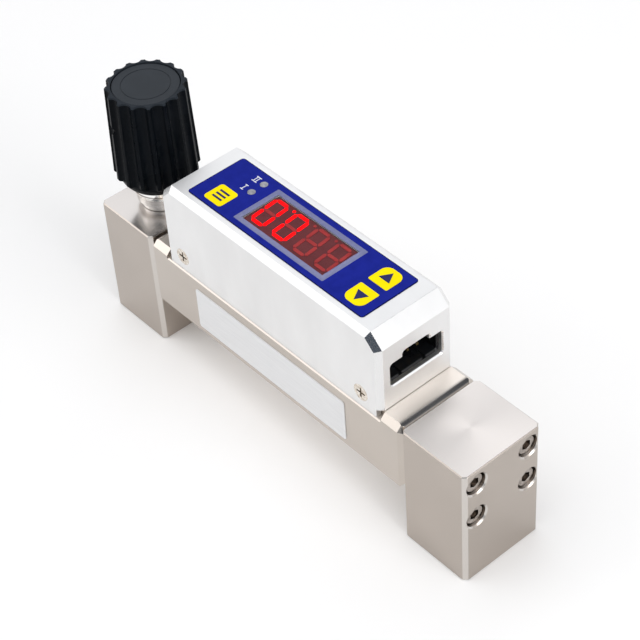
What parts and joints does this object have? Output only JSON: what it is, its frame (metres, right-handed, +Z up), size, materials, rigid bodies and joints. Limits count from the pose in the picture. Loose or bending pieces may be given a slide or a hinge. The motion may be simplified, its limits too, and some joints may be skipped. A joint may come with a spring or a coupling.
{
  "type": "mass flow controller",
  "caption": "Gas mass flow controller: steel flow body between two end blocks, electronics cover with digit display and keys on top, fluted hand valve knob at one end.",
  "frame": {"origin": "centre of the footprint, on the surface that the two end blocks stand on", "axes": "+X along the flow body away from the valve knob, -Y is the side with the label plate, +Z is up"},
  "size_m": [0.1366, 0.0246, 0.0733],
  "materials": {
    "block_steel": "satin ground",
    "screw_steel": "polished",
    "inner_steel": "plain",
    "valve_chrome": "bright turned",
    "seal_rubber": "matt",
    "seat_polymer": "matt",
    "cover_aluminium": "fine satin",
    "ceramic_blade": "plain",
    "silicon": "gloss",
    "film_blue": "satin film",
    "window_clear": "clear film",
    "key_yellow": "satin film",
    "symbol_navy": "print",
    "mark_white": "print",
    "light_grey": "diffused",
    "lamp_white": "gloss",
    "display_black": "tinted",
    "segment_lit": "glowing red",
    "segment_dark": "unlit red",
    "board_green": "solder mask",
    "chip_black": "matt",
    "plunger_plastic": "matt",
    "post_brass": "plated",
    "socket_black": "moulded",
    "knob_black": "moulded",
    "cap_slate": "moulded",
    "label_silver": "matt printed sheet"
  },
  "bodies": {
    "controller": {"board_chips": "chip_black", "board_spacers": "inner_steel", "bonnet_seal": "seal_rubber", "connector_contacts": "post_brass", "connector_shell": "socket_black", "cover_screws": "screw_steel", "display_board": "board_green", "display_board_screws": "inner_steel", "display_module": "display_black", "display_posts": "post_brass", "display_segments_dark": "segment_dark", "display_segments_lit": "segment_lit", "display_window": "window_clear", "down_key": "key_yellow", "down_switch": "chip_black", "flow_body": "block_steel", "flow_screens": "inner_steel", "flow_straightener": "inner_steel", "gland_nut": "valve_chrome", "header_pins": "post_brass", "header_strip": "chip_black", "housing_cover": "cover_aluminium", "inlet_block": "block_steel", "inlet_block_screws": "screw_steel", "inlet_face_seal": "seal_rubber", "key_symbols": "symbol_navy", "label_plate": "label_silver", "led_chips": "lamp_white", "light_pipes": "light_grey", "main_board": "board_green", "menu_key": "key_yellow", "menu_switch": "chip_black", "outlet_face_seal": "seal_rubber", "packing_ring": "seal_rubber", "packing_washer": "inner_steel", "panel_marks": "mark_white", "panel_overlay": "film_blue", "screen_spacers": "inner_steel", "sensor_blade": "ceramic_blade", "sensor_chip": "silicon", "sensor_holder": "inner_steel", "sensor_screws": "inner_steel", "sensor_seal": "seal_rubber", "up_key": "key_yellow", "up_switch": "chip_black", "valve_block": "block_steel", "valve_block_screws": "screw_steel", "valve_bonnet": "valve_chrome", "valve_seat": "seat_polymer"},
    "needle": {"valve_needle": "inner_steel"},
    "knob": {"control_knob": "knob_black", "knob_cap": "cap_slate", "knob_set_screw": "screw_steel", "valve_stem": "inner_steel"},
    "menu_button": {"menu_plunger": "plunger_plastic"},
    "up_button": {"up_plunger": "plunger_plastic"},
    "down_button": {"down_plunger": "plunger_plastic"}
  },
  "joints": [
    {"name": "needle_lift", "type": "slide", "parent": "controller", "child": "needle", "axis": [0, 0, 1], "range_m": [0, 0.002]},
    {"name": "knob_turn", "type": "hinge", "parent": "needle", "child": "knob", "pos_m": [-0.0575, 0, 0.036], "axis": [0, 0, 1], "range_deg": [0, 1440]},
    {"name": "menu_press", "type": "slide", "parent": "controller", "child": "menu_button", "axis": [0, 0, 1], "range_m": [-0.00025, 0], "stiffness_N_per_m": 3000},
    {"name": "up_press", "type": "slide", "parent": "controller", "child": "up_button", "axis": [0, 0, 1], "range_m": [-0.00025, 0], "stiffness_N_per_m": 3000},
    {"name": "down_press", "type": "slide", "parent": "controller", "child": "down_button", "axis": [0, 0, 1], "range_m": [-0.00025, 0], "stiffness_N_per_m": 3000}
  ],
  "couplings": [
    {"joint": "knob_turn", "follows": "needle_lift", "rad_per_m": 12566}
  ]
}
